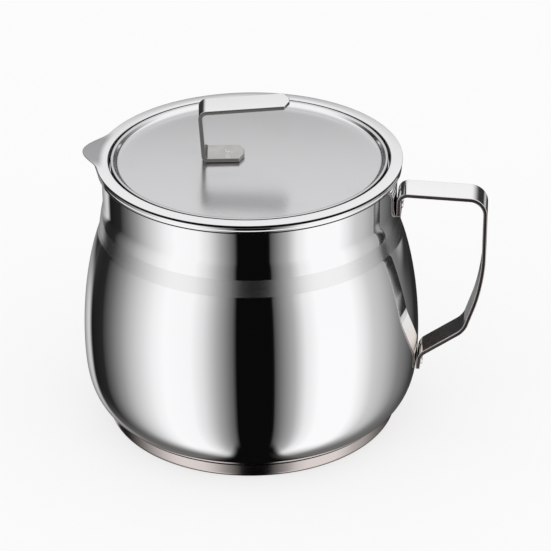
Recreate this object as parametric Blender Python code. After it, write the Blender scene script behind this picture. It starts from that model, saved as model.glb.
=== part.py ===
# Grease container: a bellied steel pot with a strip handle, a mouth ring with a pouring beak, a strainer
# that hangs in the ring, and a lid with a strip knob. Metres, +Z up. The origin is the middle of the
# base, on the table. The handle points along +X and the beak along -X.

import math

import bmesh
import bpy
from mathutils import Matrix, Vector
from mathutils.geometry import interpolate_bezier

# Fit and fineness
clearance = 0.0003  # between pieces that touch
pot_steps = 60
ring_steps = 48
arc_steps = 2
strip_arc_steps = 5  # bends of the strap and of the knob
weld_steps = 10
crowding_share = 0.45  # how much closer together the steps lie at the beak

# Pot: heights are stacked from the table up
pot_wall = 0.0008
base_height = 0.0066  # side of the base cap
lower_belly_height = 0.0314  # from the base cap to the widest ring
upper_belly_height = 0.0522  # from the widest ring to the satin band
band_height = 0.0086
neck_height = 0.0208
neck_radius = 0.0643  # outside
neck_step_width = 0.0012  # crease between the neck and the satin band
neck_step_height = 0.0012
band_spread = 0.0011  # the satin band is this much wider at its lower edge
belly_bulge = 0.0083  # the belly stands this far out past the band
foot_inset = 0.0096  # the foot is this far in from the belly
foot_slope_share = 0.70  # rise of the belly where it meets the base cap, for one unit out
lower_belly_steps = 6
upper_belly_steps = 6
lower_belly_pull_shares = (0.43, 0.19)  # curve handles, as shares of that belly height
upper_belly_pull_shares = (0.38, 0.23)
band_slope_share = 0.40

# Rolled edge of the pot, with a groove round it
bead_height = 0.0033
bead_overhang = 0.0019
bead_top_round = 0.0004
bead_under_round = 0.0008
groove_depth = 0.0004
groove_height = 0.0007
groove_top_share = 0.33  # place of the groove, down from the top of the bead

# Mouth ring and its beak
ring_sheet = 0.0009
ring_overhang = 0.0022  # past the neck
ring_edge_round = 0.0003
mouth_gap = 0.0015  # between the inside of the neck and the wall of the ring
mouth_round = 0.0013
strainer_ledge_depth = 0.0041  # from the ring's top down to its ledge
strainer_ledge_width = 0.0013
ring_bend_round = 0.0005
beak_reach = 0.0066
beak_half_angle = math.radians(16.2)
beak_edge_share = 0.32  # how far the pot's rolled edge follows the beak
beak_inside_share = 0.26
beak_under_share = 0.50  # how much thinner the rolled edge is there
flare_height = 0.0105  # the neck bends out under the beak from this far below its top
flare_levels = 2
flare_power_share = 3.0
flare_reach_share = 0.32

# Base
cap_sheet = 0.0006
cap_foot_round = 0.0023
cap_inset = 0.0001  # side of the cap, in from the foot of the belly
cap_taper = 0.0003
core_thickness = 0.0038
core_edge_round = 0.0016
floor_corner_round = 0.0030

# Strainer
strainer_sheet = 0.0008
strainer_flange_width = 0.0014
basket_height = 0.0160
basket_lip_width = 0.0025
strainer_corner_round = 0.0005
mesh_thickness = 0.0006
mesh_margin_width = 0.0028
mesh_dish_depth = 0.0070
mesh_wire_width = 0.0016
mesh_gaps_across = 10
hoop_height = 0.0014
hoop_width = 0.0020

# Lid
lid_sheet = 0.0008
lid_gap = 0.0008  # running gap round the lid
lid_top_depth = 0.0002  # the lid's rim lies this far under the mouth ring's top
lid_rim_width = 0.0014
lid_rim_height = 0.0022  # rim above the sunk centre
lid_slope_width = 0.0012
lid_edge_round = 0.0005
lid_slope_round = 0.0008
lid_turn = math.radians(6.5)  # the lid lies turned a little on its seat

# Strip knob on the lid, seen from its side
knob_width = 0.0140
knob_thickness = 0.0018
knob_rise = 0.0250  # from the lid's centre to the top of the leg
knob_foot_reach = 0.0184  # from the leg to the free end of the foot
knob_top_reach = 0.0395
knob_leg_place = 0.0205  # back of the leg, from the lid's middle
knob_side_place = 0.0030
knob_tilt = math.radians(3.5)
knob_top_round = 0.0038
knob_foot_round = 0.0030
strip_clip_length = 0.0023  # clipped corners at both ends
strip_clip_width = 0.0050

# Strap handle on the pot
strap_width = 0.0145
strap_thickness = 0.0018
strap_top_drop = 0.0122  # upper side of the top arm, below the mouth ring's top
strap_upper_tab = 0.0127
strap_reach = 0.0395  # past the neck
strap_arm_fall = 0.0014  # drop of the top arm over its length
strap_straight_grip = 0.0418
strap_grip_lean = 0.0079  # how far the grip comes back in below its straight length
strap_leaning_grip = 0.0241
strap_lower_arm_slope_share = 0.705
strap_lower_tab = 0.0080
strap_neck_round = 0.0047
strap_corner_round = 0.0080
strap_grip_round = 0.1050
strap_lower_round = 0.0100
strap_belly_round = 0.0040
strap_clip_length = 0.0015
strap_clip_width = 0.0025

# Weld spots
weld_radius = 0.0016
weld_height = 0.0005
weld_spacing = 0.0056
knob_weld_shift = -0.0018  # the knob's spots sit this far from its middle line
weld_crown_share = 0.6
weld_place_share = 0.42  # place on a handle tab, from its end
knob_weld_share = 0.60  # place on the knob's foot, from the leg

# Heights that follow
band_foot = base_height + lower_belly_height + upper_belly_height
band_top = band_foot + band_height
widest_height = base_height + lower_belly_height
neck_top = band_top + neck_height
bead_top = neck_top + bead_height
rim_height = bead_top + clearance + ring_sheet
ledge_height = rim_height - strainer_ledge_depth
strainer_height = ledge_height + clearance
lid_seat_height = strainer_height + strainer_sheet + clearance
lid_height = rim_height - lid_top_depth - lid_rim_height - lid_sheet
lid_skirt_height = rim_height - lid_top_depth - lid_seat_height
flare_start = neck_top - flare_height
core_bottom = cap_sheet + clearance
floor_height = core_bottom + core_thickness + clearance

# Radii that follow
step_radius = neck_radius + neck_step_width
band_radius = step_radius + band_spread
belly_radius = band_radius + belly_bulge
foot_radius = belly_radius - foot_inset
foot_gap = clearance * math.hypot(1, foot_slope_share)
foot_height = base_height + foot_gap
neck_inner = neck_radius - pot_wall
mouth_radius = neck_inner - mouth_gap - ring_sheet  # inside of the ring, round the lid
bead_radius = neck_radius + bead_overhang
rim_radius = neck_radius + ring_overhang
cap_radius = foot_radius - cap_inset

steel_polished = (0.78, 0.78, 0.79)
steel_satin = (0.70, 0.70, 0.71)
steel_base = (0.76, 0.72, 0.69)
aluminium_dull = (0.62, 0.63, 0.64)
steel_mesh = (0.60, 0.60, 0.61)


def clear_scene():
    for thing in list(bpy.data.objects):
        bpy.data.objects.remove(thing)


def metal(name, colour, roughness):
    material = bpy.data.materials.new(name)
    material.use_nodes = True
    shader = material.node_tree.nodes["Principled BSDF"]
    shader.inputs["Base Color"].default_value = (*colour, 1)
    shader.inputs["Metallic"].default_value = 1
    shader.inputs["Roughness"].default_value = roughness
    return material


def frame_at(name, height, turn=0):
    """An empty on the pot's axis, which carries the pieces that lift together."""
    empty = bpy.data.objects.new(name, None)
    empty.location = (0, 0, height)
    empty.rotation_euler = (0, 0, turn)
    bpy.context.scene.collection.objects.link(empty)
    return empty


def add_piece(name, bm, material, parent=None):
    bmesh.ops.recalc_face_normals(bm, faces=bm.faces)
    if bm.calc_volume(signed=True) < 0:
        bmesh.ops.reverse_faces(bm, faces=bm.faces)
    mesh = bpy.data.meshes.new(name)
    bm.to_mesh(mesh)
    bm.free()
    mesh.shade_smooth()
    mesh.set_sharp_from_angle(angle=math.radians(30))
    piece = bpy.data.objects.new(name, mesh)
    piece.parent = parent
    mesh.materials.append(material)
    bpy.context.scene.collection.objects.link(piece)
    return piece


def rounded(corners, steps=arc_steps):
    """Points of an outline whose corners (x, z, radius) are rounded by arcs."""
    points = []
    last = len(corners) - 1
    for index, (x, z, radius) in enumerate(corners):
        here = Vector((x, z))
        if index in (0, last) or radius == 0:
            points.append(here)
            continue
        back = Vector(corners[index - 1][:2]) - here
        ahead = Vector(corners[index + 1][:2]) - here
        half_turn = (math.pi - back.angle(ahead)) / 2
        cut = radius * math.tan(half_turn)
        cut = min(cut, back.length / 2, ahead.length / 2)
        start = here + back.normalized() * cut
        end = here + ahead.normalized() * cut
        middle = here + (back.normalized() + ahead.normalized()).normalized() * (cut / math.sin(half_turn))
        first_arm = start - middle
        sweep = first_arm.angle_signed(end - middle)
        for step in range(steps + 1):
            turn = Matrix.Rotation(-sweep * step / steps, 2)
            points.append(middle + turn @ first_arm)
    return points


def offset(points, distance):
    """The same outline moved to its left side by a distance."""
    moved = []
    for index, point in enumerate(points):
        before = point - points[max(index - 1, 0)]
        after = points[min(index + 1, len(points) - 1)] - point
        normals = [Vector((-side.y, side.x)).normalized() for side in (before, after) if side.length > 0]
        middle = sum(normals, Vector((0, 0))).normalized()
        moved.append(point + middle * distance / middle.dot(normals[0]))
    return moved


def turned(points, steps, closed):
    """A body turned about Z. A closed outline makes a ring, an open one ends on the axis twice."""
    bm = bmesh.new()
    verts = [bm.verts.new((point.x, 0, point.y)) for point in points]
    edges = [bm.edges.new(pair) for pair in zip(verts, verts[1:])]
    if closed:
        edges.append(bm.edges.new((verts[-1], verts[0])))
    bmesh.ops.spin(
        bm, geom=verts + edges, cent=(0, 0, 0), axis=(0, 0, 1), angle=math.tau, steps=steps, use_merge=True
    )
    bmesh.ops.remove_doubles(bm, verts=bm.verts, dist=clearance / 100)
    return bm


def strip(points, thickness, width, clip_length, clip_width):
    """A flat strip bent along an outline in the XZ plane, with clipped corners at both ends."""
    inner = offset(points, thickness)
    clipped = []
    for line in (points, inner):
        short = list(line)
        short[0] = line[0] + (line[1] - line[0]).normalized() * clip_length
        short[-1] = line[-1] + (line[-2] - line[-1]).normalized() * clip_length
        clipped.append(short)
    full_ring = points + inner[::-1]
    short_ring = clipped[0] + clipped[1][::-1]
    half = width / 2
    sides = [(-half, short_ring), (clip_width - half, full_ring), (half - clip_width, full_ring), (half, short_ring)]
    bm = bmesh.new()
    rings = [[bm.verts.new((point.x, side, point.y)) for point in ring] for side, ring in sides]
    for near, far in zip(rings, rings[1:]):
        for index in range(len(near)):
            following = (index + 1) % len(near)
            bm.faces.new((near[index], near[following], far[following], far[index]))
    count = len(points)
    for ring in (rings[0], rings[-1]):
        for index in range(count - 1):
            mirror = 2 * count - 1 - index
            bm.faces.new((ring[index], ring[index + 1], ring[mirror - 1], ring[mirror]))
    return bm


def belly_outline():
    """Outside of the pot from the middle of its floor up to the underside of the rim."""
    floor_edge = foot_radius - (foot_height - floor_height) / foot_slope_share
    floor = rounded(
        [(0, floor_height, 0), (floor_edge, floor_height, floor_corner_round), (foot_radius, foot_height, 0)]
    )
    first, second = lower_belly_pull_shares
    lower = interpolate_bezier(
        Vector((foot_radius, foot_height)),
        Vector((foot_radius, foot_height)) + Vector((1 / foot_slope_share, 1)) * second * lower_belly_height,
        Vector((belly_radius, widest_height - first * lower_belly_height)),
        Vector((belly_radius, widest_height)),
        lower_belly_steps + 1,
    )
    first, second = upper_belly_pull_shares
    upper = interpolate_bezier(
        Vector((belly_radius, widest_height)),
        Vector((belly_radius, widest_height + first * upper_belly_height)),
        Vector((band_radius, band_foot)) + Vector((band_slope_share, -1)) * second * upper_belly_height,
        Vector((band_radius, band_foot)),
        upper_belly_steps + 1,
    )
    neck = [Vector((step_radius, band_top - neck_step_height)), Vector((neck_radius, band_top))]
    for level in range(flare_levels + 1):
        neck.append(Vector((neck_radius, flare_start + flare_height * level / flare_levels)))
    return floor + [point.to_2d() for point in lower[1:] + upper[1:]] + neck


def outside_radius_at(height):
    """Outside radius of the pot at a height above its foot."""
    outline = belly_outline()
    for below, above in zip(outline, outline[1:]):
        if below.y < height <= above.y:
            return below.x + (above.x - below.x) * (height - below.y) / (above.y - below.y)
    return neck_radius


def flare_push(height):
    """How far the neck goes out under the middle of the beak."""
    rise = max(0, (height - flare_start) / flare_height)
    return flare_reach_share * beak_reach * rise**flare_power_share


def pot_pairs():
    """Outline of the pot, each point with the place it takes under the middle of the beak."""
    outside = belly_outline()
    inside = offset(outside, pot_wall)
    inside[0].x = 0
    inside[-1] = Vector((neck_inner, neck_top))
    groove_top = bead_top - groove_top_share * bead_height
    groove_foot = groove_top - groove_height
    bead = [
        (neck_radius, neck_top, 0),
        (bead_radius, neck_top, bead_under_round),
        (bead_radius, groove_foot, 0),
        (bead_radius - groove_depth, groove_top - groove_height / 2, 0),
        (bead_radius, groove_top, 0),
        (bead_radius, bead_top, bead_top_round),
        (neck_inner, bead_top, 0),
        (neck_inner, neck_top, 0),
    ]
    pairs = [(point, Vector((point.x + flare_push(point.y), point.y))) for point in outside[:-1]]
    for point in rounded(bead):
        across = (point.x - neck_inner) / (bead_radius - neck_inner)
        push = beak_reach * (beak_inside_share + (beak_edge_share - beak_inside_share) * across)
        rise = (bead_top - point.y) / bead_height
        low = flare_push(neck_top)
        out = low + (push - low) * (1 - rise) if point.x < neck_radius + clearance else push
        pairs.append((point, Vector((point.x + out, bead_top - rise * bead_height * (1 - beak_under_share * across)))))
    for point in reversed(inside[:-1]):
        pairs.append((point, Vector((point.x + flare_push(point.y), point.y))))
    return pairs


def beak_share(angle):
    """1 in the middle of the beak, which points along -X, and 0 at its sides."""
    away = math.pi - abs(angle)
    return math.cos(math.pi / 2 * min(1, away / beak_half_angle)) ** 2


def crowd_steps(bm):
    """Turns each step towards the beak, so that the beak's curve gets more of them."""
    for vert in bm.verts:
        radius = math.hypot(vert.co.x, vert.co.y)
        angle = math.atan2(-vert.co.y, -vert.co.x)
        angle -= crowding_share * math.sin(angle)
        vert.co.x = -radius * math.cos(angle)
        vert.co.y = -radius * math.sin(angle)


def bend_to_pairs(bm, pairs):
    """Moves each turned point towards the place its pair gives it under the beak."""
    grid = clearance / 10
    partners = {(round(plain.x / grid), round(plain.y / grid)): (plain, moved) for plain, moved in pairs}
    for vert in bm.verts:
        radius = math.hypot(vert.co.x, vert.co.y)
        share = beak_share(math.atan2(vert.co.y, vert.co.x))
        key = (round(radius / grid), round(vert.co.z / grid))
        if share == 0 or radius == 0 or key not in partners:
            continue
        plain, moved = partners[key]
        place = plain.lerp(moved, share)
        vert.co.x *= place.x / radius
        vert.co.y *= place.x / radius
        vert.co.z = place.y


def make_pot(material):
    pairs = pot_pairs()
    bm = turned([plain for plain, moved in pairs], pot_steps, False)
    crowd_steps(bm)
    bend_to_pairs(bm, pairs)
    add_piece("pot_shell", bm, material)


def make_mouth_ring(material):
    wall_outer = mouth_radius + ring_sheet
    under = rim_height - ring_sheet
    ledge_inner = mouth_radius - strainer_ledge_width
    outline = rounded(
        [
            (wall_outer, under, ring_bend_round),
            (rim_radius, under, ring_edge_round),
            (rim_radius, rim_height, ring_edge_round),
            (mouth_radius, rim_height, mouth_round),
            (mouth_radius, ledge_height, ring_bend_round),
            (ledge_inner, ledge_height, 0),
            (ledge_inner, ledge_height - ring_sheet, 0),
            (wall_outer, ledge_height - ring_sheet, ring_bend_round),
            (wall_outer, under, 0),
        ]
    )[:-1]
    flat_inner = mouth_radius + mouth_round
    pairs = []
    for point in outline:
        across = max(0, (point.x - flat_inner) / (rim_radius - flat_inner))
        pairs.append((point, Vector((point.x + across * beak_reach, point.y))))
    bm = turned(outline, pot_steps, True)
    crowd_steps(bm)
    bend_to_pairs(bm, pairs)
    add_piece("mouth_ring", bm, material)


def make_base(cap_material, core_material):
    cap_inner = cap_radius - cap_sheet
    under_foot = foot_height - foot_gap
    top_outer = under_foot - cap_inset * foot_slope_share
    top_inner = top_outer - cap_sheet * foot_slope_share
    cap = rounded(
        [
            (0, 0, 0),
            (cap_radius - cap_taper, 0, cap_foot_round),
            (cap_radius, top_outer, 0),
            (cap_inner, top_inner, 0),
            (cap_inner - cap_taper, cap_sheet, cap_foot_round - cap_sheet),
            (0, cap_sheet, 0),
        ]
    )
    add_piece("base_cap", turned(cap, ring_steps, False), cap_material)
    core_radius = cap_inner - cap_taper - clearance
    core = rounded(
        [
            (0, core_bottom, 0),
            (core_radius, core_bottom, core_edge_round),
            (core_radius, core_bottom + core_thickness, 0),
            (0, core_bottom + core_thickness, 0),
        ]
    )
    add_piece("base_core", turned(core, ring_steps, False), core_material)


def add_weld_pair(name, middle, outward, side_shift, material, parent=None):
    """Two low round spots side by side along Y, on a face that looks outward in the XZ plane."""
    crown = weld_crown_share * weld_radius
    outline = rounded([(0, 0, 0), (weld_radius, 0, 0), (crown, weld_height, 0), (0, weld_height, 0)])
    face = Matrix.Translation((middle.x, side_shift, middle.y))
    face @= Matrix.Rotation(math.atan2(outward.x, outward.y), 4, "Y")
    for side_name, side in (("near", -1), ("far", 1)):
        spot = turned(outline, weld_steps, False)
        spot.transform(face @ Matrix.Translation((0, side * weld_spacing / 2, clearance)))
        add_piece(f"{name}_{side_name}", spot, material, parent)


def strap_outline():
    """Outer side of the strap, from its tab on the neck round the grip to its tab on the belly."""
    top = rim_height - strap_top_drop
    tab_end = top - strap_upper_tab
    neck_side = neck_radius + clearance
    reach = neck_radius + strap_reach
    arm_end = top - strap_arm_fall
    knee = arm_end - strap_straight_grip
    elbow_x = reach - strap_grip_lean
    elbow_z = knee - strap_leaning_grip
    # The belly tab hugs the belly, and the lower arm falls from the elbow to it
    arm_slope = strap_lower_arm_slope_share
    belly_line = belly_radius + clearance + strap_thickness
    tab_top = elbow_z - (elbow_x - belly_line) * arm_slope
    tab_foot = tab_top - strap_lower_tab
    top_x = outside_radius_at(tab_top) + clearance + strap_thickness
    foot_x = outside_radius_at(tab_foot) + clearance + strap_thickness
    return [
        (neck_side, tab_end, 0),
        (neck_side, top, strap_neck_round),
        (reach, arm_end, strap_corner_round),
        (reach, knee, strap_grip_round),
        (elbow_x, elbow_z, strap_lower_round),
        (top_x, tab_top, strap_belly_round),
        (foot_x, tab_foot, 0),
    ]


def make_handle(material, weld_material):
    corners = strap_outline()
    bm = strip(rounded(corners, strip_arc_steps), -strap_thickness, strap_width, strap_clip_length, strap_clip_width)
    add_piece("handle_strap", bm, material)
    ends = (("upper", corners[0], corners[1], strap_thickness), ("lower", corners[-1], corners[-2], 0))
    for name, end, beside, depth in ends:
        start = Vector(end[:2])
        along = Vector(beside[:2]) - start
        outward = Vector((abs(along.y), -along.x)).normalized()
        middle = start + along * weld_place_share + outward * depth
        add_weld_pair(f"handle_weld_{name}", middle, outward, 0, weld_material)


def make_strainer(frame, ring_material, mesh_material):
    """The frame lies at the underside of the flange."""
    flange_outer = mouth_radius - clearance
    basket_outer = flange_outer - strainer_flange_width
    basket_inner = basket_outer - strainer_sheet
    basket_end = -basket_height
    lip_inner = basket_inner - basket_lip_width
    ring = rounded(
        [
            (flange_outer, 0, 0),
            (flange_outer, strainer_sheet, 0),
            (basket_inner, strainer_sheet, strainer_corner_round),
            (basket_inner, basket_end, 0),
            (lip_inner, basket_end, 0),
            (lip_inner, basket_end - strainer_sheet, 0),
            (basket_outer, basket_end - strainer_sheet, strainer_corner_round),
            (basket_outer, 0, 0),
        ]
    )
    add_piece("strainer_rim", turned(ring, ring_steps, True), ring_material, frame)
    mesh_edge = basket_inner - clearance
    mesh_low = basket_end + clearance
    make_mesh(frame, mesh_edge, mesh_low, mesh_material)
    hoop_low = mesh_low + mesh_thickness + clearance
    hoop = rounded(
        [
            (mesh_edge - hoop_width, hoop_low, 0),
            (mesh_edge, hoop_low, 0),
            (mesh_edge, hoop_low + hoop_height, 0),
            (mesh_edge - hoop_width, hoop_low + hoop_height, 0),
        ]
    )
    add_piece("strainer_hoop", turned(hoop, ring_steps, True), ring_material, frame)


def make_mesh(frame, edge, low, material):
    """A square net drawn out to a round dish, inside a flat margin that the hoop clamps."""
    net = edge - mesh_margin_width
    bm = bmesh.new()
    bmesh.ops.create_grid(bm, x_segments=mesh_gaps_across, y_segments=mesh_gaps_across, size=1)
    for vert in bm.verts:
        x, y = vert.co.x, vert.co.y
        vert.co.x = net * x * math.sqrt(1 - y * y / 2)
        vert.co.y = net * y * math.sqrt(1 - x * x / 2)
    border = [item for item in bm.edges if item.is_boundary]
    cells = list(bm.faces)
    grown = bmesh.ops.extrude_edge_only(bm, edges=border)
    for vert in [item for item in grown["geom"] if isinstance(item, bmesh.types.BMVert)]:
        vert.co *= edge / math.hypot(vert.co.x, vert.co.y)
    bmesh.ops.inset_individual(bm, faces=cells, thickness=mesh_wire_width / 2)
    bmesh.ops.delete(bm, geom=cells, context="FACES_ONLY")
    for vert in bm.verts:
        radius = math.hypot(vert.co.x, vert.co.y)
        vert.co.z = low - mesh_dish_depth * max(0, 1 - (radius / net) ** 2)
    top = bmesh.ops.extrude_face_region(bm, geom=list(bm.faces))
    raised = [item for item in top["geom"] if isinstance(item, bmesh.types.BMVert)]
    bmesh.ops.translate(bm, verts=raised, vec=(0, 0, mesh_thickness))
    add_piece("strainer_mesh", bm, material, frame)


def make_lid(frame, plate_material, knob_material, weld_material):
    """The frame lies at the underside of the sunk centre."""
    lid_radius = mouth_radius - lid_gap
    land_inner = lid_radius - lid_rim_width
    centre_radius = land_inner - lid_slope_width
    top = lid_sheet + lid_rim_height
    skirt = top - lid_skirt_height
    plate = rounded(
        [
            (0, lid_sheet, 0),
            (centre_radius, lid_sheet, lid_slope_round),
            (land_inner, top, lid_slope_round),
            (lid_radius, top, lid_edge_round),
            (lid_radius, skirt, 0),
            (lid_radius - lid_sheet, skirt, 0),
            (lid_radius - lid_sheet, top - lid_sheet, 0),
            (land_inner + lid_sheet / 2, top - lid_sheet, 0),
            (centre_radius + lid_sheet / 2, 0, 0),
            (0, 0, 0),
        ]
    )
    add_piece("lid_plate", turned(plate, ring_steps, False), plate_material, frame)
    low = lid_sheet + clearance
    lean = math.tan(knob_tilt)
    back = -knob_leg_place
    leg_top = lid_sheet + knob_rise
    path = rounded(
        [
            (back + knob_foot_reach, low, 0),
            (back, low, knob_foot_round),
            (back - (leg_top - low) * lean, leg_top, knob_top_round),
            (back - (leg_top - low) * lean + knob_top_reach, leg_top + knob_top_reach * lean, 0),
        ],
        strip_arc_steps,
    )
    knob = strip(path, -knob_thickness, knob_width, strip_clip_length, strip_clip_width)
    bmesh.ops.translate(knob, verts=knob.verts, vec=(0, knob_side_place, 0))
    add_piece("lid_knob", knob, knob_material, frame)
    middle = Vector((back + knob_foot_reach * knob_weld_share, low + knob_thickness))
    shift = knob_side_place + knob_weld_shift
    add_weld_pair("knob_weld", middle, Vector((0, 1)), shift, weld_material, frame)


clear_scene()
polished = metal("polished_steel", steel_polished, 0.08)
satin = metal("satin_steel", steel_satin, 0.35)
base_steel = metal("base_steel", steel_base, 0.15)
aluminium = metal("dull_aluminium", aluminium_dull, 0.5)
wire = metal("mesh_steel", steel_mesh, 0.4)
make_pot(polished)
make_mouth_ring(polished)
make_base(base_steel, aluminium)
make_handle(polished, satin)
make_strainer(frame_at("strainer_frame", strainer_height), polished, wire)
make_lid(frame_at("lid_frame", lid_height, lid_turn), satin, polished, satin)
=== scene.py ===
# Looks of the grease container: fine turned steel, bent strips, a woven strainer and a studio to reflect.
# Lengths in the dictionaries are in millimetres and angles in degrees, unless a note says otherwise.

import math

import bmesh
import bpy
from mathutils import Matrix, Vector
from mathutils.geometry import interpolate_bezier


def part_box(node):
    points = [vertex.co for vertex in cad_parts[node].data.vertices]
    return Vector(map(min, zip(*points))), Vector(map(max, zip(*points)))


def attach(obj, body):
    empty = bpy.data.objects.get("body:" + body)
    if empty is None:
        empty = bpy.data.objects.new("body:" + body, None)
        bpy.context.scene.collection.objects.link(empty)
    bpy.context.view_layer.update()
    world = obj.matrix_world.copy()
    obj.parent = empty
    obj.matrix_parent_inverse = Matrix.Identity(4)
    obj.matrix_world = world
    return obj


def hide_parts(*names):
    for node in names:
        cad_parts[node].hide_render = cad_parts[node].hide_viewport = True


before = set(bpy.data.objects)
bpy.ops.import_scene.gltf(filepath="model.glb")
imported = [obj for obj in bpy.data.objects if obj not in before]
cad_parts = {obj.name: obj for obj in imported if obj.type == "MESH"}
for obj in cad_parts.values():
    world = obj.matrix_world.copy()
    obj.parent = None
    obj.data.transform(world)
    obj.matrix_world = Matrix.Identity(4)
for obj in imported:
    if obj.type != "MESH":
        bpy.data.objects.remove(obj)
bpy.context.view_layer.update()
mm = 0.001
turnSteps = 288
lidTurn = 6.5  # how far the lid lies turned on the pot


# materials

def newMaterial(name):
    material = bpy.data.materials.new(name)
    material.use_nodes = True
    return material, material.node_tree, material.node_tree.nodes["Principled BSDF"]


def addNode(tree, kind, **settings):
    node = tree.nodes.new(kind)
    for key, value in settings.items():
        setattr(node, key, value)
    return node


def feed(tree, node, socket, value):
    # a plain number goes on the socket, anything else is a link
    if isinstance(value, bpy.types.NodeSocket):
        tree.links.new(value, node.inputs[socket])
    else:
        node.inputs[socket].default_value = value


def calc(tree, operation, *values):
    node = addNode(tree, "ShaderNodeMath", operation=operation)
    for index, value in enumerate(values):
        feed(tree, node, index, value)
    return node.outputs[0]


def ramp(tree, value, low, high, fromLow=0.0, fromHigh=1.0, kind="SMOOTHSTEP"):
    node = addNode(tree, "ShaderNodeMapRange", interpolation_type=kind)
    numbers = {"Value": value, "From Min": fromLow, "From Max": fromHigh, "To Min": low, "To Max": high}
    for socket, number in numbers.items():
        feed(tree, node, socket, number)
    return node.outputs["Result"]


def rising(tree, value, start, end):
    # from 0 to 1 between two lengths
    return ramp(tree, value, 0.0, 1.0, start * mm, end * mm)


def falling(tree, value, start, end):
    return ramp(tree, value, 1.0, 0.0, start * mm, end * mm)


def between(tree, value, span, soft):
    # 1 inside the span, with soft ends
    low, high = span
    return calc(
        tree, "MULTIPLY", rising(tree, value, low - soft, low + soft), falling(tree, value, high - soft, high + soft)
    )


def opaque(colour):
    return (*colour, 1)


def grey(bright):
    return (bright, bright, bright, 1)


def blendColour(tree, factor, first, second):
    node = addNode(tree, "ShaderNodeMix", data_type="RGBA")
    feed(tree, node, 0, factor)
    feed(tree, node, 6, first)
    feed(tree, node, 7, second)
    return node.outputs[2]


def noise(tree, vector, scale, detail):
    node = addNode(tree, "ShaderNodeTexNoise")
    feed(tree, node, "Vector", vector)
    feed(tree, node, "Scale", scale)
    feed(tree, node, "Detail", detail)
    return node.outputs["Fac"]


def stretched(tree, vector, scale):
    node = addNode(tree, "ShaderNodeMapping")
    feed(tree, node, "Vector", vector)
    feed(tree, node, "Scale", scale)
    return node.outputs["Vector"]


def aroundAxis(tree, place):
    # radius, turn and height of a point, for marks that run round a turned piece
    parts = addNode(tree, "ShaderNodeSeparateXYZ")
    feed(tree, parts, 0, place)
    x, y, z = parts.outputs
    radius = calc(tree, "SQRT", calc(tree, "ADD", calc(tree, "MULTIPLY", x, x), calc(tree, "MULTIPLY", y, y)))
    joined = addNode(tree, "ShaderNodeCombineXYZ")
    feed(tree, joined, 0, radius)
    turned = calc(tree, "ABSOLUTE", calc(tree, "ARCTAN2", y, x))
    feed(tree, joined, 1, calc(tree, "MULTIPLY", turned, 0.01))
    feed(tree, joined, 2, z)
    return joined.outputs[0], radius, turned, z


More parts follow.
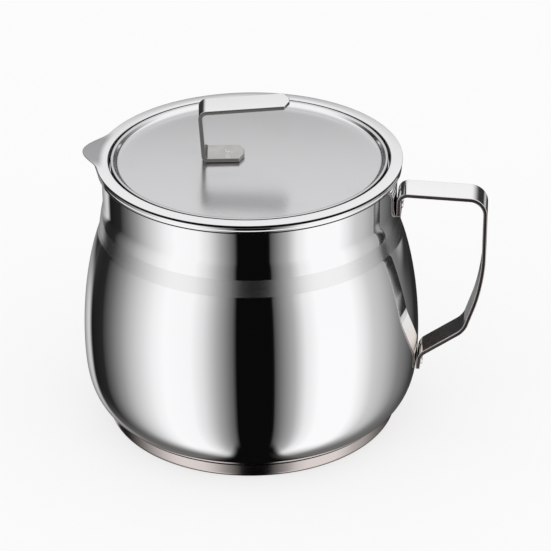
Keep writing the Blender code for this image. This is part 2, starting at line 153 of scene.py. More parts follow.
# grain and smear are how much each changes the roughness, marks is the way that the grain runs
steelFinishes = {
    "mirrorSteel": {
        "colour": (0.86, 0.86, 0.87), "rough": 0.026, "grain": 0.016, "smear": 0.030, "bump": 0.0, "marks": "round",
        "band": {"heights": (90.2, 97.9), "soft": 0.15, "rougher": 0.19, "tint": (0.78, 0.78, 0.78), "share": 0.8},
        # painted shade lines: under the rolled edge, and on its top under the mouth ring's flange
        "lines": [
            {"heights": (119.0, 120.52), "radii": (63.9, 64.2), "tint": (0.03, 0.03, 0.03)},
            {"heights": (122.5, 123.2), "radii": (65.2, 65.5), "tint": (0.08, 0.08, 0.08)},
        ],
    },
    "ringSteel": {
        "colour": (0.79, 0.79, 0.80), "rough": 0.12, "grain": 0.05, "smear": 0.04, "bump": 0.0008, "marks": "round",
        "beak": {"radii": (62.8, 66.0), "spread": (18.0, 8.1), "rougher": 0.18, "tint": (0.40, 0.40, 0.41)},
        # painted shade in the gap round the lid
        "throatShade": {"radii": (61.3, 61.8), "heights": (122.9, 123.7), "rougher": 0.20, "tint": (0.22, 0.21, 0.20)},
        # painted shade line on the flange's outer edge and underside, over the rolled edge
        "lines": [{"heights": (120.0, 123.84), "radii": (64.0, 64.3), "tint": (0.04, 0.04, 0.04)}],
    },
    "basketSteel": {
        "colour": (0.74, 0.74, 0.75), "rough": 0.15, "grain": 0.07, "smear": 0.05, "bump": 0.0010, "marks": "round",
    },
    "lidSteel": {
        "colour": (0.62, 0.62, 0.63), "rough": 0.21, "grain": 0.07, "smear": 0.05, "bump": 0.0012, "marks": "round",
        "slope": {"inner": (57.1, 58.1), "outer": (58.6, 59.1), "rougher": -0.09, "tint": (0.83, 0.83, 0.84)},
        # painted shade line on the lid's outer edge, in the gap round the lid
        "lines": [{"heights": (121.0, 123.74), "radii": (59.9, 60.2), "tint": (0.05, 0.05, 0.05)}],
    },
    "stripSteel": {
        "colour": (0.86, 0.86, 0.86), "rough": 0.11, "grain": 0.05, "smear": 0.04, "bump": 0.0008, "marks": "flat",
        # painted warm reflection on the handle's lower tab
        "foot": {"heights": (34.0, 46.0), "rougher": 0.04, "tint": (0.82, 0.74, 0.68)},
        # painted shade and painted warm reflection on the handle's sheared sides
        "cut": {"turn": 0.0, "middle": 0.0, "edge": (6.97, 7.19), "rougher": 0.11, "tint": (0.56, 0.50, 0.48)},
    },
    "knobSteel": {
        "colour": (0.86, 0.86, 0.86), "rough": 0.11, "grain": 0.05, "smear": 0.04, "bump": 0.0008, "marks": "flat",
        # painted shade on the knob's foot
        "foot": {"heights": (124.5, 126.1), "rougher": 0.10, "tint": (0.47, 0.46, 0.45)},
        # painted shade on the knob's sheared sides
        "cut": {"turn": lidTurn, "middle": 3.0, "edge": (6.72, 6.94), "rougher": 0.14, "tint": (0.24, 0.23, 0.22)},
    },
    "baseSteel": {
        "colour": (0.63, 0.57, 0.55), "rough": 0.14, "grain": 0.06, "smear": 0.05, "bump": 0.0010, "marks": "round",
    },
    "weldSteel": {
        "colour": (0.80, 0.79, 0.78), "rough": 0.10, "grain": 0.08, "smear": 0.06, "bump": 0.0020, "marks": "flat",
    },
    "wireSteel": {
        "colour": (0.66, 0.66, 0.67), "rough": 0.26, "grain": 0.08, "smear": 0.05, "bump": 0.0010, "marks": "flat",
    },
    "rolledAluminium": {
        "colour": (0.62, 0.63, 0.64), "rough": 0.42, "grain": 0.10, "smear": 0.06, "bump": 0.0030, "marks": "flat",
    },
}
# how the coarse and the fine grain are drawn out, and the marks that every finish has, with the blotches of the painted
# foot patches and the painted shade lines
steelGrain = {
    "round": ((4200, 40, 4200), (11000, 160, 11000)), "flat": ((260, 5200, 260), (900, 13000, 900)),
    "detail": (3.0, 1.0), "coarseShare": 0.65, "bumpStrength": 0.6,
    "smearScale": 38.0, "smearDetail": 4.0, "smearRange": (0.52, 0.78),
    "cloudScale": 9.0, "cloudDetail": 2.0, "cloudDim": 0.97,
    "blotchScale": 120.0, "blotchDetail": 3.0, "blotchRange": (0.30, 0.70), "blotchLeast": 0.82,
    "shadeLineSoft": 0.08, "shadeLineRougher": 0.22,
}


def addPatch(tree, surface, mask, rougher, tint, share=None):
    # another finish over part of a piece
    rough, colour = surface
    rough = calc(tree, "ADD", rough, calc(tree, "MULTIPLY", mask, rougher))
    if share is not None:
        mask = calc(tree, "MULTIPLY", mask, share)
    return rough, blendColour(tree, mask, colour, opaque(tint))


def makeSteel(name):
    look = steelFinishes[name]
    material, tree, shader = newMaterial(name)
    place = addNode(tree, "ShaderNodeTexCoord").outputs["Object"]
    around, radius, turned, height = aroundAxis(tree, place)
    way = around if look["marks"] == "round" else place
    coarse, fine = (
        noise(tree, stretched(tree, way, stretch), 1.0, detail)
        for stretch, detail in zip(steelGrain[look["marks"]], steelGrain["detail"])
    )
    smear = noise(tree, place, steelGrain["smearScale"], steelGrain["smearDetail"])
    cloud = noise(tree, place, steelGrain["cloudScale"], steelGrain["cloudDetail"])
    share = steelGrain["coarseShare"]
    grain = calc(tree, "ADD", calc(tree, "MULTIPLY", coarse, share), calc(tree, "MULTIPLY", fine, 1 - share))
    rough = calc(tree, "ADD", look["rough"] - look["grain"] / 2, calc(tree, "MULTIPLY", grain, look["grain"]))
    rough = calc(tree, "ADD", rough, ramp(tree, smear, 0.0, look["smear"], *steelGrain["smearRange"]))
    dim = [part * steelGrain["cloudDim"] for part in look["colour"]]
    surface = rough, blendColour(tree, cloud, opaque(dim), opaque(look["colour"]))
    if "band" in look:
        # between the belly and the neck the pot is left satin from the forming
        patch = look["band"]
        inBand = between(tree, height, patch["heights"], patch["soft"])
        surface = addPatch(tree, surface, inBand, patch["rougher"], patch["tint"], patch["share"])
    if "beak" in look:
        # the beak is duller than the ring that it was pressed from
        patch = look["beak"]
        wide, narrow = (math.pi - math.radians(degrees) for degrees in patch["spread"])
        onBeak = calc(
            tree, "MULTIPLY", rising(tree, radius, *patch["radii"]), ramp(tree, turned, 0.0, 1.0, wide, narrow)
        )
        surface = addPatch(tree, surface, onBeak, patch["rougher"], patch["tint"])
    if "slope" in look:
        # the slope of the lid's raised edge is polished
        patch = look["slope"]
        onSlope = calc(
            tree, "MULTIPLY", rising(tree, radius, *patch["inner"]), falling(tree, radius, *patch["outer"])
        )
        surface = addPatch(tree, surface, onSlope, patch["rougher"], patch["tint"])
    if "throatShade" in look:
        # painted shade in the gap round the lid: the mouth's inner wall just under its rounded edge is darker and
        # rougher
        patch = look["throatShade"]
        inThroatShade = calc(
            tree, "MULTIPLY", falling(tree, radius, *patch["radii"]), falling(tree, height, *patch["heights"])
        )
        surface = addPatch(tree, surface, inThroatShade, patch["rougher"], patch["tint"])
    for patch in look.get("lines", ()):
        # painted shade: dark, rougher lines round the piece, in the gaps between parts and under the rolled edges
        inShadeLine = calc(
            tree, "MULTIPLY", between(tree, height, patch["heights"], steelGrain["shadeLineSoft"]),
            rising(tree, radius, *patch["radii"]),
        )
        surface = addPatch(tree, surface, inShadeLine, steelGrain["shadeLineRougher"], patch["tint"])
    if "foot" in look:
        # welding left the end of the strip a little rougher; its colour there, in blotches, is painted: a painted warm
        # reflection on the handle's lower tab and painted shade on the knob's foot
        patch = look["foot"]
        footBlotches = noise(tree, place, steelGrain["blotchScale"], steelGrain["blotchDetail"])
        footBlotches = ramp(tree, footBlotches, steelGrain["blotchLeast"], 1.0, *steelGrain["blotchRange"])
        paintedFoot = falling(tree, height, *patch["heights"])
        surface = addPatch(tree, surface, paintedFoot, patch["rougher"], patch["tint"], footBlotches)
    if "cut" in look:
        # the sheared sides of a strip are duller than its faces; their darker colour is painted shade, and on the
        # handle its brownish tint is a painted warm reflection
        patch = look["cut"]
        turnAngle = math.radians(patch["turn"])
        parts = addNode(tree, "ShaderNodeSeparateXYZ")
        feed(tree, parts, 0, place)
        across = calc(
            tree, "SUBTRACT", calc(tree, "MULTIPLY", parts.outputs[1], math.cos(turnAngle)),
            calc(tree, "MULTIPLY", parts.outputs[0], math.sin(turnAngle)),
        )
        away = calc(tree, "ABSOLUTE", calc(tree, "SUBTRACT", across, patch["middle"] * mm))
        surface = addPatch(tree, surface, rising(tree, away, *patch["edge"]), patch["rougher"], patch["tint"])
    rough, colour = surface
    feed(tree, shader, "Base Color", colour)
    feed(tree, shader, "Roughness", rough)
    shader.inputs["Metallic"].default_value = 1.0
    if look["bump"]:
        bump = addNode(tree, "ShaderNodeBump")
        bump.inputs["Strength"].default_value = steelGrain["bumpStrength"]
        bump.inputs["Distance"].default_value = look["bump"] * mm
        feed(tree, bump, "Height", grain)
        feed(tree, shader, "Normal", bump.outputs[0])
    return material


print("materials")
steel = {name: makeSteel(name) for name in steelFinishes}


# shapes

def drawOutline(corners, closed=False):
    # a wire in the XZ plane through (x, z) or (x, z, rounding, segments); each rounded corner is a vertex bevel
    bm = bmesh.new()
    verts = [bm.verts.new((corner[0] * mm, 0, corner[1] * mm)) for corner in corners]
    for first, second in zip(verts, verts[1:]):
        bm.edges.new((first, second))
    if closed:
        bm.edges.new((verts[-1], verts[0]))
    for vert, corner in zip(verts, corners):
        if len(corner) < 4:
            continue
        arms = [edge.other_vert(vert).co - vert.co for edge in vert.link_edges]
        halfTurn = (math.pi - arms[0].angle(arms[1])) / 2
        cut = min(corner[2] * mm * math.tan(halfTurn), arms[0].length * 0.49, arms[1].length * 0.49)
        bmesh.ops.bevel(
            bm, geom=[vert], offset=cut, offset_type="OFFSET", segments=corner[3], profile=0.5, affect="VERTICES",
            material=-1,
        )
    return bm


def turn(bm, steps=turnSteps):
    bmesh.ops.spin(
        bm, geom=bm.verts[:] + bm.edges[:], cent=(0, 0, 0), axis=(0, 0, 1), angle=math.tau, steps=steps, use_merge=True
    )
    bmesh.ops.remove_doubles(bm, verts=bm.verts, dist=0.0005 * mm)
    return bm


def offsetLine(points, distance):
    # the same line moved to its left side
    moved = []
    for index, point in enumerate(points):
        before = point - points[max(index - 1, 0)]
        after = points[min(index + 1, len(points) - 1)] - point
        sides = [Vector((-arm.y, arm.x)).normalized() for arm in (before, after) if arm.length > 0]
        middle = sum(sides, Vector((0, 0))).normalized()
        moved.append(point + middle * distance / middle.dot(sides[0]))
    return moved


def nearestFace(bm, point):
    # the face that has the edge whose middle is nearest
    def distance(face):
        return min(((edge.verts[0].co + edge.verts[1].co) / 2 - point).length for edge in face.edges)

    return min(bm.faces, key=distance)


# angles past which an edge is broken or stays sharp, and how strongly large faces hold their shading
edges = {"border": 40, "borderSteps": 3, "sharp": 38, "faceWeight": 50}


def bendStrip(corners, strip, shift=0.0):
    # a flat strip along an outline, its free corners clipped and all its edges broken
    width = strip["width"]
    bm = drawOutline(corners)
    bmesh.ops.translate(bm, verts=bm.verts, vec=(0, (shift - width / 2) * mm, 0))
    grown = bmesh.ops.extrude_edge_only(bm, edges=bm.edges[:])
    far = [item for item in grown["geom"] if isinstance(item, bmesh.types.BMVert)]
    bmesh.ops.translate(bm, verts=far, vec=(0, width * mm, 0))
    clipLength, clipWidth = strip["clip"]
    for end, beside in ((corners[0], corners[1]), (corners[-1], corners[-2])):
        tip = Vector((end[0] * mm, shift * mm, end[1] * mm))
        along = (Vector((beside[0] * mm, shift * mm, beside[1] * mm)) - tip).normalized()
        for side in (-1, 1):
            face = nearestFace(bm, tip)
            start = tip + Vector((0, side * (width / 2 - clipWidth) * mm, 0))
            outward = Vector((0, side * clipLength, 0)) - along * clipWidth
            bmesh.ops.bisect_plane(
                bm, geom=[face, *face.edges, *face.verts], dist=0.0001 * mm, plane_co=start, plane_no=outward,
                clear_outer=True,
            )
    bmesh.ops.recalc_face_normals(bm, faces=bm.faces)
    top = max(bm.faces, key=lambda face: face.calc_center_median().z)
    if top.normal.z < 0:
        bmesh.ops.reverse_faces(bm, faces=bm.faces)
    bmesh.ops.solidify(bm, geom=bm.faces[:], thickness=strip["thickness"] * mm)
    bmesh.ops.recalc_face_normals(bm, faces=bm.faces)
    limit = math.radians(edges["border"])
    borders = [edge for edge in bm.edges if edge.is_manifold and edge.calc_face_angle() > limit]
    bmesh.ops.bevel(
        bm, geom=borders, offset=strip["edgeRound"] * mm, offset_type="OFFSET", segments=edges["borderSteps"],
        profile=0.5, affect="EDGES", clamp_overlap=True, material=-1,
    )
    return bm


def addObject(name, bm):
    mesh = bpy.data.meshes.new(name)
    bm.to_mesh(mesh)
    bm.free()
    added = bpy.data.objects.new(name, mesh)
    bpy.context.scene.collection.objects.link(added)
    return added


def addPiece(name, bm, material, body, slotName, *nodes, evenShading=True):
    bmesh.ops.recalc_face_normals(bm, faces=bm.faces)
    if bm.calc_volume(signed=True) < 0:
        bmesh.ops.reverse_faces(bm, faces=bm.faces)
    piece = addObject(name, bm)
    piece.data.shade_smooth()
    piece.data.set_sharp_from_angle(angle=math.radians(edges["sharp"]))
    piece.data.materials.append(material)
    if evenShading:
        even = piece.modifiers.new("evenShading", "WEIGHTED_NORMAL")
        even.mode = "FACE_AREA"
        even.weight = edges["faceWeight"]
        even.keep_sharp = True
    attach(piece, body)
    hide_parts(*nodes)
    return piece


# the beak, shared by the pot's rolled edge and by the mouth ring
beak = {"reach": 6.6, "halfAngle": 16.2, "edgeShare": 0.32, "insideShare": 0.26, "flareFoot": 109.1, "flareShare": 0.32}


def beakShare(vert):
    away = math.pi - abs(math.atan2(vert.co.y, vert.co.x))
    return math.cos(math.pi / 2 * min(1, away / math.radians(beak["halfAngle"]))) ** 2


def pushOut(vert, distance):
    radius = math.hypot(vert.co.x, vert.co.y)
    vert.co.x *= (radius + distance) / radius
    vert.co.y *= (radius + distance) / radius


pot = {
    "wall": 0.8, "floor": 5.0, "floorSteps": ((-2.0, 0.0), (-0.7, 0.15)), "foot": (65.3, 6.966), "footSlope": 0.70,
    "belly": (74.9, 38.0), "lowerHeight": 31.4, "upperHeight": 52.2, "lowerPull": (0.43, 0.19),
    "upperPull": (0.38, 0.23), "curvePoints": 26,
    # the satin band, and the soft run from it into the neck
    "bandFoot": (66.6, 90.2), "bandSlope": 0.40, "bandTop": (65.5, 97.6), "bandRun": 0.3, "neckRun": 3.0,
    "runPoints": 14, "neckFoot": (64.3, 105.2), "neckTop": 119.6, "neckSteps": 8,
    # the rolled edge with its groove, and how the beak draws it out and up
    "beadTop": 122.8, "beadRadius": 66.2, "groove": (121.11, 121.46, 121.81), "grooveDepth": 0.4,
    "beakInner": 63.5, "beakLift": 0.5,
}


def makePotBody():
    foot, belly, bandFoot = Vector(pot["foot"]), Vector(pot["belly"]), Vector(pot["bandFoot"])
    first, second = pot["lowerPull"]
    lower = interpolate_bezier(
        foot, foot + Vector((1 / pot["footSlope"], 1)) * second * pot["lowerHeight"],
        belly - Vector((0, first * pot["lowerHeight"])), belly, pot["curvePoints"],
    )
    first, second = pot["upperPull"]
    upper = interpolate_bezier(
        belly, belly + Vector((0, first * pot["upperHeight"])),
        bandFoot + Vector((pot["bandSlope"], -1)) * second * pot["upperHeight"], bandFoot, pot["curvePoints"],
    )
    floorEdge = Vector((foot.x - (foot.y - pot["floor"]) / pot["footSlope"], pot["floor"]))
    wall = [Vector((0, pot["floor"])), *[floorEdge + Vector(step) for step in pot["floorSteps"]]]
    wall += [point.to_2d() for point in lower + upper[1:]]
    bandTop, neckFoot = Vector(pot["bandTop"]), Vector(pot["neckFoot"])
    run = interpolate_bezier(
        bandTop, bandTop + (bandTop - bandFoot) * pot["bandRun"], neckFoot - Vector((0, pot["neckRun"])), neckFoot,
        pot["runPoints"],
    )
    wall += [bandFoot.lerp(bandTop, 0.5), *[point.to_2d() for point in run]]
    neckTop, steps = Vector((neckFoot.x, pot["neckTop"])), pot["neckSteps"]
    wall += [neckFoot.lerp(neckTop, step / steps) for step in range(1, steps + 1)]
    inside = offsetLine(wall, pot["wall"])
    inside[0].x = 0
    low, middle, high = pot["groove"]
    radius = pot["beadRadius"]
    bead = [
        (radius, pot["neckTop"], 0.8, 5), (radius, low, 0.12, 2), (radius - pot["grooveDepth"], middle, 0.2, 3),
        (radius, high, 0.12, 2), (radius, pot["beadTop"], 0.5, 4), (inside[-1].x, pot["beadTop"], 0.4, 4),
    ]
    bm = turn(drawOutline([tuple(point) for point in wall] + bead + [tuple(point) for point in reversed(inside)]))
    for vert in bm.verts:
        share = beakShare(vert)
        radius, height = math.hypot(vert.co.x, vert.co.y) / mm, vert.co.z / mm
        if share == 0 or height < beak["flareFoot"]:
            continue
        rise = min(1, (height - beak["flareFoot"]) / (pot["neckTop"] - beak["flareFoot"]))
        push = beak["flareShare"] * beak["reach"] * rise**3
        if height > pot["neckTop"]:
            across = min(1, max(0, (radius - pot["beakInner"]) / (pot["beadRadius"] - pot["beakInner"])))
            edge = beak["insideShare"] + (beak["edgeShare"] - beak["insideShare"]) * across
            climb = (height - pot["neckTop"]) / (pot["beadTop"] - pot["neckTop"])
            push += (edge * beak["reach"] - push) * max(climb, across)
            vert.co.z += (pot["beadTop"] * mm - vert.co.z) * pot["beakLift"] * across * share
        pushOut(vert, push * share * mm)
    return addPiece("potBody", bm, steel["mirrorSteel"], "pot", "polished_steel", "pot_shell")


mouthRing = {
    "inside": 61.1, "outside": 66.5, "top": 124.1, "sheet": 0.9, "ledge": 120.0, "ledgeInner": 59.8,
    "mouthRound": 1.3, "edgeRound": 0.24, "flangeSheet": 0.55,
    # points on the flat of the flange, which falls a little to its edge
    "flatOuter": 65.9, "flatSteps": 6, "fall": 0.12, "fallCurve": 1.6,
}


def makeMouthRing():
    inside, outside, top, sheet = (mouthRing[key] for key in ("inside", "outside", "top", "sheet"))
    under, ledge, inner = top - mouthRing["flangeSheet"], mouthRing["ledge"], mouthRing["ledgeInner"]
    flatInner, flatOuter, steps = inside + mouthRing["mouthRound"], mouthRing["flatOuter"], mouthRing["flatSteps"]
    flat = [(flatOuter + (flatInner - flatOuter) * step / steps, top) for step in range(steps + 1)]
    bm = turn(
        drawOutline(
            [
                (inside + sheet, under, 0.5, 4), (outside, under, mouthRing["edgeRound"], 4),
                (outside, top, mouthRing["edgeRound"], 4), *flat, (inside, top, mouthRing["mouthRound"], 9),
                (inside, ledge, 0.4, 4), (inner, ledge, 0.2, 3), (inner, ledge - sheet, 0.2, 3),
                (inside + sheet, ledge - sheet, 0.9, 5),
            ],
            closed=True,
        )
    )
    for vert in bm.verts:
        share = beakShare(vert)
        radius, height = math.hypot(vert.co.x, vert.co.y) / mm, vert.co.z / mm
        across = max(0, (radius - flatInner) / (outside - flatInner))
        if height > top - sheet / 2:
            vert.co.z -= mouthRing["fall"] * (1 - share) * across ** mouthRing["fallCurve"] * mm
        if share > 0:
            pushOut(vert, beak["reach"] * across * share * mm)
    return addPiece("mouthRingPressed", bm, steel["ringSteel"], "pot", "polished_steel", "mouth_ring")


baseTray = {
    "radius": 65.2, "taper": 0.3, "sheet": 0.6, "footRound": 2.3, "top": 6.53, "lipFall": 0.42,
    # flat in the middle, with a shallow groove inside the edge
    "underside": [(0, 0), (30, 0), (54, 0), (56, 0.25, 1.0, 4)],
}


def makeBaseTray():
    radius, sheet, taper, top = baseTray["radius"], baseTray["sheet"], baseTray["taper"], baseTray["top"]
    corners = [
        *baseTray["underside"], (radius - taper, 0.0, baseTray["footRound"], 8), (radius, top, 0.12, 2),
        (radius - sheet, top - baseTray["lipFall"], 0.12, 2),
        (radius - sheet - taper, sheet, baseTray["footRound"] - sheet, 6), (0, sheet),
    ]
    return addPiece("baseTray", turn(drawOutline(corners)), steel["baseSteel"], "pot", "base_steel", "base_cap")


print("pot, ring and base")
makePotBody()
makeMouthRing()
makeBaseTray()
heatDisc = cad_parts["base_core"]
heatDisc.data.materials.clear()
heatDisc.data.materials.append(steel["rolledAluminium"])


handleStrap = {
    "path": [
        (64.6, 99.2), (64.6, 111.9, 4.7, 12), (103.8, 110.5, 8.0, 14), (103.8, 68.7, 105.0, 16),
        (95.9, 44.6, 10.0, 12), (76.869, 31.275, 4.0, 10), (76.045, 23.275),
    ],
    "width": 14.5, "thickness": 1.8, "clip": (1.5, 2.5), "edgeRound": 0.35,
}


def makeHandle():
    bm = bendStrip(handleStrap["path"], handleStrap)
    return addPiece("handleStrip", bm, steel["stripSteel"], "pot", "polished_steel", "handle_strap")


# a shallow dimple inside a raised ring, sunk a little into the strip
weldSpot = {
    "outline": [
        (0, 0.10), (0.5, 0.12, 0.2, 2), (0.95, 0.62, 0.25, 4), (1.2, 0.55, 0.2, 3), (1.6, 0.0), (0, 0.0),
    ],
    "sink": 0.25, "steps": 40,
}


def makeWeldSpot(name, node, outward, body):
    low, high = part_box(node)
    bm = turn(drawOutline(weldSpot["outline"]), weldSpot["steps"])
    seat = (low + high) / 2 - outward * weldSpot["sink"] * mm
    facing = outward.to_track_quat("Z", "X").to_matrix().to_4x4()
    bmesh.ops.transform(bm, matrix=Matrix.Translation(seat) @ facing, verts=bm.verts)
    return addPiece(name, bm, steel["weldSteel"], body, "satin_steel", node)


print("handle and welds")
makeHandle()
lowerTab = Vector(handleStrap["path"][-1]) - Vector(handleStrap["path"][-2][:2])
lowerOutward = Vector((-lowerTab.y, 0, lowerTab.x)).normalized()
for place, outward in (("upper", Vector((1, 0, 0))), ("lower", lowerOutward)):
    for side in ("near", "far"):
        makeWeldSpot(f"handleWeld_{place}_{side}", f"handle_weld_{place}_{side}", outward, "pot")
for side in ("near", "far"):
    makeWeldSpot(f"knobWeld_{side}", f"knob_weld_{side}", Vector((0, 0, 1)), "lid")


strainer = {
    "seat": 120.3, "flangeOuter": 60.8, "basketOuter": 59.4, "sheet": 0.8, "depth": 16.0, "lip": 2.5,
    "netFlat": 55.5, "netEdge": 58.1, "netLift": 0.6, "netDish": 7.0, "wire": 0.5, "wirePitch": 3.0,
    "wirePoint": 1.5, "wireWave": 0.14, "hoopWidth": 2.0,
}


def makeStrainerRim():
    outer, sheet, seat = strainer["basketOuter"], strainer["sheet"], strainer["seat"]
    inner, end = outer - sheet, seat - strainer["depth"]
    corners = [
        (strainer["flangeOuter"], seat, 0.25, 3), (strainer["flangeOuter"], seat + sheet, 0.25, 3),
        (inner, seat + sheet, 0.9, 6), (inner, end, 0.2, 2), (inner - strainer["lip"], end, 0.2, 2),
        (inner - strainer["lip"], end - sheet, 0.2, 2), (outer, end - sheet, 0.9, 6), (outer, seat, 0.3, 3),
    ]
    bm = turn(drawOutline(corners, closed=True))
    return addPiece("strainerRing", bm, steel["basketSteel"], "strainer", "polished_steel", "strainer_rim")


def netHeight(x, y):
    dish = max(0, 1 - (math.hypot(x, y) / strainer["netFlat"]) ** 2)
    return strainer["seat"] - strainer["depth"] + strainer["netLift"] - strainer["netDish"] * dish


def makeStrainerNet():
    # plain weave: each wire passes over one cross wire and under the next
    weave = bpy.data.curves.new("strainerWires", "CURVE")
    weave.dimensions = "3D"
    weave.bevel_depth = strainer["wire"] / 2 * mm
    weave.bevel_resolution = 1
    pitch, edge, step = strainer["wirePitch"], strainer["netEdge"], strainer["wirePoint"]
    lines = int(edge // pitch)
    for lengthwise in (True, False):
        for line in range(-lines, lines + 1):
            across = line * pitch
            count = int(math.sqrt(max(0, edge**2 - across**2)) // step)
            if count < 2:
                continue
            spline = weave.splines.new("POLY")
            spline.points.add(2 * count)
            for index in range(-count, count + 1):
                run = index * step
                x, y = (run, across) if lengthwise else (across, run)
                wave = strainer["wireWave"] * math.cos(math.pi * (run / pitch + line % 2))
                height = netHeight(x, y) + (wave if lengthwise else -wave)
                spline.points[index + count].co = (x * mm, y * mm, height * mm, 1)
    holder = bpy.data.objects.new("strainerWires", weave)
    bpy.context.scene.collection.objects.link(holder)
    bpy.context.view_layer.update()
    woven = bpy.data.meshes.new_from_object(holder.evaluated_get(bpy.context.evaluated_depsgraph_get()))
    bpy.data.objects.remove(holder)
    bm = bmesh.new()
    bm.from_mesh(woven)
    return addPiece(
        "strainerNet", bm, steel["wireSteel"], "strainer", "mesh_steel", "strainer_mesh", evenShading=False
    )


def makeStrainerHoop():
    low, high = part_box("strainer_hoop")
    top, foot, outer = high.z / mm, low.z / mm, high.x / mm
    inner = outer - strainer["hoopWidth"]
    corners = [(inner, foot, 0.5, 4), (outer, foot, 0.3, 3), (outer, top, 0.3, 3), (inner, top, 0.6, 5)]
    bm = turn(drawOutline(corners, closed=True))
    return addPiece("strainerHoop", bm, steel["basketSteel"], "strainer", "polished_steel", "strainer_hoop")


print("strainer")
makeStrainerRim()
makeStrainerNet()
makeStrainerHoop()


lid = {
    "radius": 60.3, "sheet": 0.8, "seat": 120.9, "rimHeight": 2.2, "rimWidth": 1.4, "slopeWidth": 1.2, "skirt": 121.4,
    "crown": 0.9, "crownSteps": 10,
}
knob = {
    "leg": -20.5, "foot": 18.4, "rise": 25.0, "lean": 3.5, "top": 39.5, "width": 14.0, "thickness": 1.8, "side": 3.0,
    "clip": (2.3, 5.0), "footRound": 3.0, "topRound": 3.8, "edgeRound": 0.32,
    # the foot stands this far over the plate and this share of the crown higher
    "gap": 0.3, "crownShare": 0.8,
}


def makeLidPlate():
    sheet, seat, radius, steps = lid["sheet"], lid["seat"], lid["radius"], lid["crownSteps"]
    land = radius - lid["rimWidth"]
    centre = land - lid["slopeWidth"]
    top = seat + sheet + lid["rimHeight"]
    crown = [
        (centre * step / steps, seat + sheet + lid["crown"] * (1 - (step / steps) ** 2)) for step in range(steps)
    ]
    corners = [
        *crown, (centre, seat + sheet, 1.6, 8), (land, top, 0.8, 6), (radius, top, 0.6, 6),
        (radius, lid["skirt"], 0.2, 2), (radius - sheet, lid["skirt"], 0.2, 2), (radius - sheet, top - sheet),
        (land + sheet / 2, top - sheet), (centre + sheet / 2, seat, 0.5, 3), (0, seat),
    ]
    return addPiece("lidPlate", turn(drawOutline(corners)), steel["lidSteel"], "lid", "satin_steel", "lid_plate")


def makeKnob():
    low = lid["seat"] + lid["sheet"] + knob["gap"] + lid["crown"] * knob["crownShare"]
    legTop = lid["seat"] + lid["sheet"] + knob["rise"]
    lean = math.tan(math.radians(knob["lean"]))
    legX = knob["leg"] - (legTop - low) * lean
    path = [
        (knob["leg"] + knob["foot"], low), (knob["leg"], low, knob["footRound"], 12),
        (legX, legTop, knob["topRound"], 12), (legX + knob["top"], legTop + knob["top"] * lean),
    ]
    bm = bendStrip(path, knob, shift=knob["side"])
    bmesh.ops.rotate(bm, cent=(0, 0, 0), matrix=Matrix.Rotation(math.radians(lidTurn), 3, "Z"), verts=bm.verts)
    return addPiece("lidKnob", bm, steel["knobSteel"], "lid", "polished_steel", "lid_knob")


print("lid")
makeLidPlate()
makeKnob()


# camera, at the photograph's angle; distance and aim are in metres
shot = {
    "azimuth": 6.5, "elevation": 28.48, "roll": -0.73, "distance": 1.1125, "aim": 0.064792, "lens": 163.34,
    "sensor": 36, "shift": 0.0448, "clipEnd": 100,
}


def makeCamera():
    turnAngle, rise = math.radians(shot["azimuth"]), math.radians(shot["elevation"])
    back = Vector((math.sin(turnAngle) * math.cos(rise), -math.cos(turnAngle) * math.cos(rise), math.sin(rise)))
    right = Vector((math.cos(turnAngle), math.sin(turnAngle), 0))
    facing = Matrix((right, back.cross(right), back)).transposed() @ Matrix.Rotation(math.radians(shot["roll"]), 3, "Z")
    data = bpy.data.cameras.new("studioCamera")
    data.sensor_width = shot["sensor"]
    data.lens = shot["lens"]
    data.shift_x = shot["shift"]
    data.clip_end = shot["clipEnd"]
    camera = bpy.data.objects.new("studioCamera", data)
    camera.matrix_world = Matrix.Translation(Vector((0, 0, shot["aim"])) + back * shot["distance"]) @ facing.to_4x4()
    bpy.context.scene.collection.objects.link(camera)
    bpy.context.scene.camera = camera


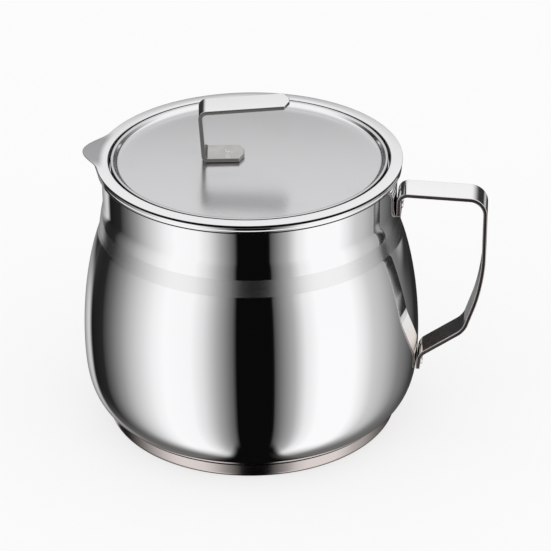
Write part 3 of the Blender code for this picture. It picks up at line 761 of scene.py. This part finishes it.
# studio: a white tent with dark gaps between its panels, a pale floor and one soft lamp.
# The radii are in metres, and a side or a depth is a share of the tent's radius.
studio = {
    "tentRadius": 14.0, "white": 1.12, "gapDark": 0.003,
    # turn from the camera (+ to its right) and the brightness of the tent there
    "panels": [
        (-180, 0.12), (-168, 0.25), (-158, 0.40), (-150, 0.60), (-146, 0.60), (-140, 0.010), (-121, 0.02),
        (-115, 0.08), (-110, 0.13), (-105, 0.20), (-98, 0.31), (-90, 0.48), (-79, 0.70), (-69, 0.90), (-60, 1.0),
        (-41, 0.97), (-32, 0.75), (-23, 0.40), (-14.6, 0.16), (-11.6, 0.09), (-10.8, 0.003), (14.0, 0.003),
        (15.5, 0.08), (28, 0.42), (36, 0.83), (45, 1.0), (72, 1.0), (81, 0.82), (89, 0.62), (100, 0.50),
        (119, 0.22), (150, 0.02),
    ],
    # heights between which the panels give way to the white roof, its brightness ahead and aside, and where aside is
    "roof": (13, 28), "roofBright": (0.95, 0.70), "roofSide": (0.20, 0.45), "roofDepth": (0.30, 0.70),
    # behind the piece the wall is dark, with a grey stripe to the right: edges of the dark and of the stripe
    "backEdge": (-26, -18), "backDepth": (0.55, 0.80), "backDark": 0.030, "backStripe": (-18, -12, -9, -2),
    "stripeSide": (0.0, 0.38), "stripeBright": 0.50,
    # the dark strip low in front: its middle, its half width, and the heights where it takes over
    "lowStrip": (0.02, 0.13, 0.20), "lowEdge": (-60, -44),
    # the floor of the tent: lean to the back, its edge, its grey, and the half width of the dark strip across it
    "pitLean": 20, "pitEdge": (46, 14), "pitGrey": (0.15, 0.145, 0.14), "pitStrip": (0.10, 0.24),
    # the paper under the piece, and how much of it the camera sees as plain white
    "floorRadius": 12.0, "floorColour": 0.93, "floorRough": 0.9, "floorGlow": 0.68, "fibreScale": 900.0,
    "fibreDetail": 2.0, "fibreLift": 1.02,
    # brightness of the world on the piece and as it is seen, and the lamp
    "world": (0.8, 1.0), "lamp": 0.9, "lampSpread": 55.0, "lampTilt": (24, -22, 0),
}


def sines(angles):
    return [math.sin(math.radians(angle)) for angle in angles]


def paintTent(tree):
    # what the steel mirrors: panels all round, and over them the back, the roof and the floor of the tent
    turned = addNode(tree, "ShaderNodeMapping")
    feed(tree, turned, "Vector", addNode(tree, "ShaderNodeTexCoord").outputs["Object"])
    turned.inputs["Rotation"].default_value = (0, 0, -math.radians(shot["azimuth"]))
    turned.inputs["Scale"].default_value = [1 / studio["tentRadius"]] * 3
    parts = addNode(tree, "ShaderNodeSeparateXYZ")
    feed(tree, parts, 0, turned.outputs[0])
    x, y, z = parts.outputs
    aside = calc(tree, "ABSOLUTE", x)

    angle = calc(tree, "ARCTAN2", x, calc(tree, "MULTIPLY", y, -1.0))
    panels = addNode(tree, "ShaderNodeValToRGB")
    feed(tree, panels, 0, ramp(tree, angle, 0.0, 1.0, -math.pi, math.pi, kind="LINEAR"))
    stops = panels.color_ramp.elements
    while len(stops) < len(studio["panels"]):
        stops.new(0.5)
    for stop, (degrees, bright) in zip(stops, studio["panels"]):
        stop.position = (degrees + 180) / 360
        stop.color = grey(bright)

    stripe = sines(studio["backStripe"])
    inStripe = calc(tree, "MULTIPLY", ramp(tree, z, 0.0, 1.0, *stripe[:2]), ramp(tree, z, 1.0, 0.0, *stripe[2:]))
    inStripe = calc(tree, "MULTIPLY", inStripe, ramp(tree, x, 0.0, 1.0, *studio["stripeSide"]))
    backCloth = blendColour(tree, inStripe, grey(studio["backDark"]), grey(studio["stripeBright"]))
    atBack = calc(
        tree, "MULTIPLY", ramp(tree, y, 0.0, 1.0, *studio["backDepth"]),
        ramp(tree, z, 0.0, 1.0, *sines(studio["backEdge"])),
    )
    cloth = blendColour(tree, atBack, panels.outputs[0], backCloth)

    ahead, side = studio["roofBright"]
    roofAside = calc(
        tree, "MULTIPLY", ramp(tree, aside, 0.0, 1.0, *studio["roofSide"]),
        ramp(tree, y, 0.0, 1.0, *studio["roofDepth"]),
    )
    roofCloth = blendColour(tree, roofAside, grey(ahead), grey(side))
    cloth = blendColour(tree, ramp(tree, z, 0.0, 1.0, *sines(studio["roof"])), cloth, roofCloth)

    middle, near, far = studio["lowStrip"]
    fromStrip = calc(tree, "ABSOLUTE", calc(tree, "SUBTRACT", x, middle))
    inLowStrip = calc(
        tree, "MULTIPLY", ramp(tree, z, 1.0, 0.0, *sines(studio["lowEdge"])),
        ramp(tree, fromStrip, 1.0, 0.0, near, far),
    )
    cloth = blendColour(tree, inLowStrip, cloth, grey(studio["gapDark"]))

    lean = math.radians(studio["pitLean"])
    pitDepth = calc(
        tree, "SUBTRACT", calc(tree, "MULTIPLY", y, math.sin(lean)), calc(tree, "MULTIPLY", z, math.cos(lean))
    )
    pitOuter, pitInner = (math.cos(math.radians(degrees)) for degrees in studio["pitEdge"])
    beside = ramp(tree, aside, 0.0, 1.0, *studio["pitStrip"])
    pitCloth = blendColour(tree, beside, grey(studio["gapDark"]), opaque(studio["pitGrey"]))
    return blendColour(tree, ramp(tree, pitDepth, 0.0, 1.0, pitOuter, pitInner), cloth, pitCloth)


def makeTent():
    bm = bmesh.new()
    bmesh.ops.create_uvsphere(bm, u_segments=64, v_segments=32, radius=studio["tentRadius"])
    tent = addObject("studioTent", bm)
    tent.visible_camera = False
    material, tree, shader = newMaterial("tentCloth")
    tree.nodes.remove(shader)
    glow = addNode(tree, "ShaderNodeEmission")
    feed(tree, glow, "Color", paintTent(tree))
    glow.inputs["Strength"].default_value = studio["white"]
    tree.links.new(glow.outputs[0], tree.nodes["Material Output"].inputs[0])
    tent.data.materials.append(material)


def makeFloor():
    bm = bmesh.new()
    bmesh.ops.create_circle(bm, cap_ends=True, segments=96, radius=studio["floorRadius"])
    floor = addObject("studioFloor", bm)
    floor.visible_glossy = False
    material, tree, shader = newMaterial("floorPaper")
    pale = studio["floorColour"]
    place = addNode(tree, "ShaderNodeTexCoord").outputs["Object"]
    fibre = noise(tree, place, studio["fibreScale"], studio["fibreDetail"])
    feed(tree, shader, "Base Color", blendColour(tree, fibre, grey(pale), grey(pale * studio["fibreLift"])))
    shader.inputs["Roughness"].default_value = studio["floorRough"]
    shader.inputs["Specular IOR Level"].default_value = 0.0
    # the camera sees part of the paper as plain white, the shadow stays in the rest
    paperGlow = addNode(tree, "ShaderNodeEmission")
    paperGlow.inputs["Color"].default_value = (1, 1, 1, 1)
    mixed = addNode(tree, "ShaderNodeMixShader")
    path = addNode(tree, "ShaderNodeLightPath")
    feed(tree, mixed, 0, calc(tree, "MULTIPLY", path.outputs["Is Camera Ray"], studio["floorGlow"]))
    tree.links.new(shader.outputs[0], mixed.inputs[1])
    tree.links.new(paperGlow.outputs[0], mixed.inputs[2])
    tree.links.new(mixed.outputs[0], tree.nodes["Material Output"].inputs[0])
    floor.data.materials.append(material)


def makeLight():
    world = bpy.data.worlds.new("studioWorld")
    world.use_nodes = True
    tree = world.node_tree
    ground = tree.nodes["Background"]
    path = addNode(tree, "ShaderNodeLightPath")
    seen = calc(tree, "MAXIMUM", path.outputs["Is Camera Ray"], path.outputs["Is Glossy Ray"])
    seen = calc(tree, "MAXIMUM", seen, path.outputs["Is Transmission Ray"])
    ground.inputs["Color"].default_value = (1, 1, 1, 1)
    feed(tree, ground, "Strength", ramp(tree, seen, *studio["world"], kind="LINEAR"))
    bpy.context.scene.world = world
    lamp = bpy.data.lights.new("softLamp", "SUN")
    lamp.energy = studio["lamp"]
    lamp.angle = math.radians(studio["lampSpread"])
    holder = bpy.data.objects.new("softLamp", lamp)
    holder.rotation_euler = [math.radians(angle) for angle in studio["lampTilt"]]
    holder.visible_glossy = False
    bpy.context.scene.collection.objects.link(holder)
    bpy.context.scene.view_settings.view_transform = "Standard"


print("studio")
makeCamera()
makeTent()
makeFloor()
makeLight()

print("done")
